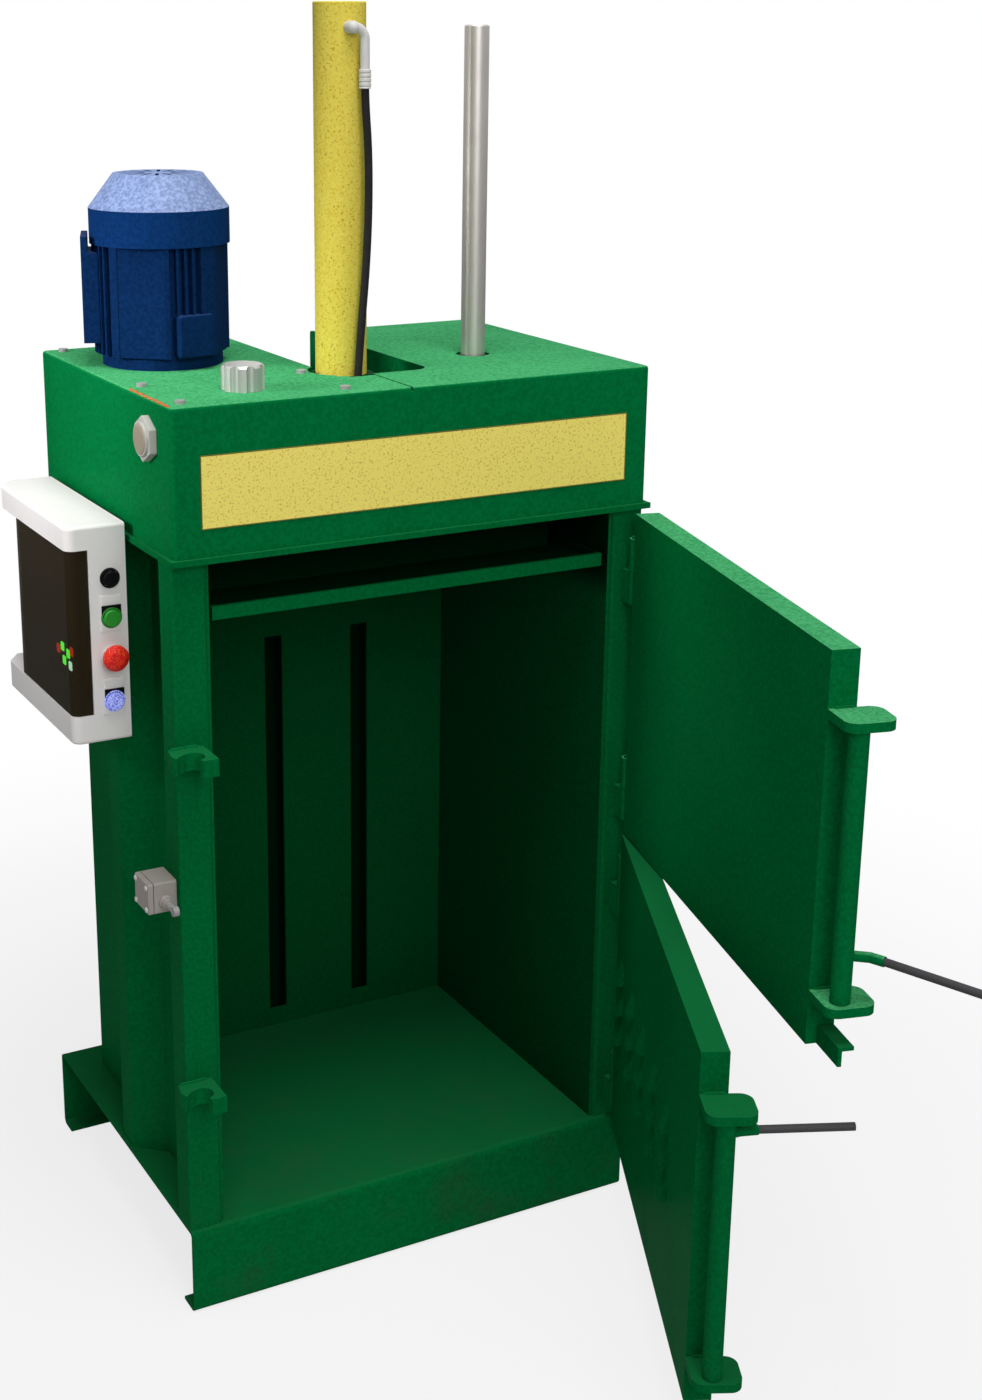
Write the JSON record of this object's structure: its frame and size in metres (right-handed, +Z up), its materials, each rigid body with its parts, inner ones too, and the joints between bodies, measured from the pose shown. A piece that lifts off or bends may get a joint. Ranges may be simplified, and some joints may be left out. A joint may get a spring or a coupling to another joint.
{
  "type": "recycling baler",
  "caption": "Small vertical baler with twin swinging doors, cam locks, a hydraulic press plate, finned motor and a control box on its side",
  "frame": {"origin": "middle of the base's footprint, on the floor", "axes": "+X to the operator's right, -Y towards the operator, +Z up"},
  "size_m": [0.843, 1.4646, 1.848],
  "materials": {
    "green_paint": "gloss machine enamel",
    "yellow_paint": "gloss enamel",
    "bright_steel": "ground and polished",
    "dark_steel": "blackened",
    "blue_paint": "satin enamel on a casting",
    "cast_aluminium": "as cast",
    "black_rubber": "matt",
    "black_plastic": "moulded",
    "grey_plastic": "moulded",
    "smoked_window": "smoked",
    "green_plastic": "moulded",
    "red_plastic": "moulded",
    "blue_plastic": "moulded",
    "grey_grip": "sleeve",
    "switch_casting": "grey die casting"
  },
  "bodies": {
    "machine": {"base_frame": "green_paint", "floor_ribs": "green_paint", "column_left": "green_paint", "column_right": "green_paint", "side_wall_left": "green_paint", "side_wall_right": "green_paint", "side_stiffener_left": "green_paint", "side_stiffener_right": "green_paint", "back_wall": "green_paint", "back_stiffeners": "green_paint", "head_plate": "green_paint", "head_shell": "green_paint", "tank_cover": "green_paint", "right_cover": "green_paint", "oil_tank": "green_paint", "hinge_leaves": "green_paint", "hook_upper": "green_paint", "hook_lower": "green_paint", "name_plate": "yellow_paint", "cylinder_tube": "yellow_paint", "cylinder_cap": "yellow_paint", "cover_screws": "bright_steel", "hose_elbow": "bright_steel", "port_block": "bright_steel", "hinge_pins": "bright_steel", "filler_neck": "bright_steel", "guide_bush": "dark_steel", "cylinder_gland": "dark_steel", "motor_housing": "blue_paint", "fan_cowl": "blue_paint", "terminal_box": "blue_paint", "pump_unit": "cast_aluminium", "level_gauge": "cast_aluminium", "pressure_hose": "black_rubber", "control_modules": "black_plastic", "enclosure_housing": "grey_plastic", "limit_switch": "switch_casting"},
    "press": {"piston_rod": "bright_steel", "guide_rod": "bright_steel", "platen": "green_paint", "platen_beams": "green_paint"},
    "cap": {"filler_cap": "black_plastic"},
    "rotor": {"rotor_shaft": "bright_steel", "cooling_fan": "black_plastic"},
    "window": {"enclosure_window": "smoked_window"},
    "black_push": {"button_black": "black_plastic"},
    "green_push": {"button_green": "green_plastic"},
    "stop_push": {"button_stop": "red_plastic"},
    "blue_push": {"button_blue": "blue_plastic"},
    "plunger": {"switch_plunger": "switch_casting"},
    "upper_door": {"door_upper": "green_paint", "door_upper_fittings": "green_paint", "door_striker": "green_paint"},
    "lower_door": {"door_lower": "green_paint", "door_lower_fittings": "green_paint", "bale_teeth": "green_paint"},
    "upper_lock": {"lock_upper": "green_paint", "lock_upper_grip": "grey_grip"},
    "lower_lock": {"lock_lower": "green_paint", "lock_lower_grip": "grey_grip"}
  },
  "joints": [
    {"name": "press_slide", "type": "slide", "parent": "machine", "child": "press", "axis": [0, 0, 1], "range_m": [-0.46, 0]},
    {"name": "upper_door_swing", "type": "hinge", "parent": "machine", "child": "upper_door", "pos_m": [0.347, -0.312, 0.885], "axis": [0, 0, 1], "range_deg": [-75.3, 44.7]},
    {"name": "lower_door_swing", "type": "hinge", "parent": "machine", "child": "lower_door", "pos_m": [0.347, -0.312, 0.383], "axis": [0, 0, 1], "range_deg": [-64.4, 55.6]},
    {"name": "upper_lock_turn", "type": "hinge", "parent": "upper_door", "child": "upper_lock", "pos_m": [0.18954, -1.00482, 0.885], "axis": [0, 0, 1], "range_deg": [-50, 40]},
    {"name": "lower_lock_turn", "type": "hinge", "parent": "lower_door", "child": "lower_lock", "pos_m": [0.06137, -0.96254, 0.383], "axis": [0, 0, 1], "range_deg": [-78, 12]},
    {"name": "rotor_spin", "type": "hinge", "parent": "machine", "child": "rotor", "pos_m": [-0.242, 0.0551, 1.5], "axis": [0, 0, 1], "continuous": true},
    {"name": "cap_turn", "type": "hinge", "parent": "machine", "child": "cap", "pos_m": [-0.2307, -0.2109, 1.36], "axis": [0, 0, 1], "range_deg": [0, 90]},
    {"name": "window_swing", "type": "hinge", "parent": "machine", "child": "window", "pos_m": [-0.4391, 0.0839, 1.012], "axis": [0, 0, -1], "range_deg": [0, 90]},
    {"name": "black_press", "type": "slide", "parent": "machine", "child": "black_push", "axis": [0, 1, 0], "range_m": [0, 0.004], "stiffness_N_per_m": 300},
    {"name": "green_press", "type": "slide", "parent": "machine", "child": "green_push", "axis": [0, 1, 0], "range_m": [0, 0.004], "stiffness_N_per_m": 300},
    {"name": "stop_press", "type": "slide", "parent": "machine", "child": "stop_push", "axis": [0, 1, 0], "range_m": [0, 0.004], "stiffness_N_per_m": 300},
    {"name": "blue_press", "type": "slide", "parent": "machine", "child": "blue_push", "axis": [0, 1, 0], "range_m": [0, 0.004], "stiffness_N_per_m": 300},
    {"name": "plunger_press", "type": "slide", "parent": "machine", "child": "plunger", "axis": [0, 1, 0], "range_m": [0, 0.004], "stiffness_N_per_m": 500}
  ]
}
